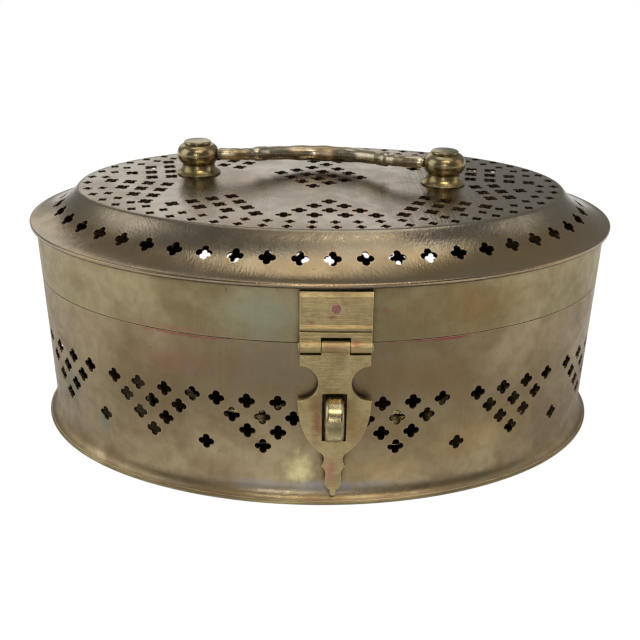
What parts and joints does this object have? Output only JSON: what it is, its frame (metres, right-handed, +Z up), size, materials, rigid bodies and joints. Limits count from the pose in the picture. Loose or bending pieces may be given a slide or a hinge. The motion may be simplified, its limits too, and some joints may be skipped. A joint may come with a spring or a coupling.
{
  "type": "oval pierced brass spice box",
  "caption": "Oval pierced brass spice box with a hinged domed lid, a front hasp over a padlock staple, a drop bail between turned posts and loose cups inside.",
  "frame": {"origin": "centre of the oval on the plane that the foot rests on", "axes": "+X along the oval's long axis, -Y towards the hasp at the front, +Z up"},
  "size_m": [0.274, 0.1986, 0.1294],
  "materials": {
    "sheet_wall": "aged, brushed, patinated sheet brass",
    "sheet_lid": "worn satin sheet brass with greyish patina",
    "cast_hasp": "filed cast brass",
    "cast_handle": "turned and cast brass, dull olive patina",
    "hinge_brass": "aged sheet brass",
    "rivet_brass": "peened brass with pink polish residue",
    "pin_brass": "drawn brass wire",
    "cup_brass": "spun brass, lightly tarnished"
  },
  "bodies": {
    "base": {"base_floor": "sheet_wall", "base_wall": "sheet_wall", "seam_collar": "sheet_wall", "hasp_staple": "cast_hasp", "staple_washer": "rivet_brass", "hinge_lower_leaf": "hinge_brass", "hinge_lower_rivets": "rivet_brass", "hinge_pin": "pin_brass"},
    "lid": {"lid_band": "sheet_wall", "lid_top": "sheet_lid", "hasp_leaf": "cast_hasp", "hasp_rivet": "rivet_brass", "hasp_pin": "pin_brass", "hinge_upper_leaf": "hinge_brass", "hinge_upper_rivets": "rivet_brass", "handle_post_left": "cast_handle", "handle_post_right": "cast_handle", "post_washers": "rivet_brass"},
    "hasp": {"hasp_strap": "cast_hasp"},
    "handle": {"bail": "cast_handle"},
    "cup_1": {"katori_1": "cup_brass"},
    "cup_2": {"katori_2": "cup_brass"},
    "cup_3": {"katori_3": "cup_brass"},
    "cup_4": {"katori_4": "cup_brass"},
    "cup_5": {"katori_5": "cup_brass"},
    "cup_6": {"katori_6": "cup_brass"},
    "cup_7": {"katori_7": "cup_brass"},
    "spoon": {"spice_spoon": "cup_brass"}
  },
  "joints": [
    {"name": "lid_hinge", "type": "hinge", "parent": "base", "child": "lid", "pos_m": [0, 0.0934, 0.0744], "axis": [-1, 0, 0], "range_deg": [0, 105]},
    {"name": "hasp_swing", "type": "hinge", "parent": "lid", "child": "hasp", "pos_m": [0.0048, -0.0932, 0.0744], "axis": [-1, 0, 0], "range_deg": [0, 150]},
    {"name": "bail_swing", "type": "hinge", "parent": "lid", "child": "handle", "pos_m": [-0.0011, 0.0067, 0.12333], "axis": [0.9919, -0.1271, 0], "range_deg": [0, 164]},
    {"name": "cup_1_lift", "type": "slide", "parent": "base", "child": "cup_1", "axis": [0, 0, 1], "range_m": [0, 0.032]},
    {"name": "cup_2_lift", "type": "slide", "parent": "base", "child": "cup_2", "axis": [0, 0, 1], "range_m": [0, 0.032]},
    {"name": "cup_3_lift", "type": "slide", "parent": "base", "child": "cup_3", "axis": [0, 0, 1], "range_m": [0, 0.032]},
    {"name": "cup_4_lift", "type": "slide", "parent": "base", "child": "cup_4", "axis": [0, 0, 1], "range_m": [0, 0.032]},
    {"name": "cup_5_lift", "type": "slide", "parent": "base", "child": "cup_5", "axis": [0, 0, 1], "range_m": [0, 0.032]},
    {"name": "cup_6_lift", "type": "slide", "parent": "base", "child": "cup_6", "axis": [0, 0, 1], "range_m": [0, 0.032]},
    {"name": "cup_7_lift", "type": "slide", "parent": "base", "child": "cup_7", "axis": [0, 0, 1], "range_m": [0, 0.032]},
    {"name": "spoon_lift", "type": "slide", "parent": "base", "child": "spoon", "axis": [0, 0, 1], "range_m": [0, 0.032]}
  ]
}
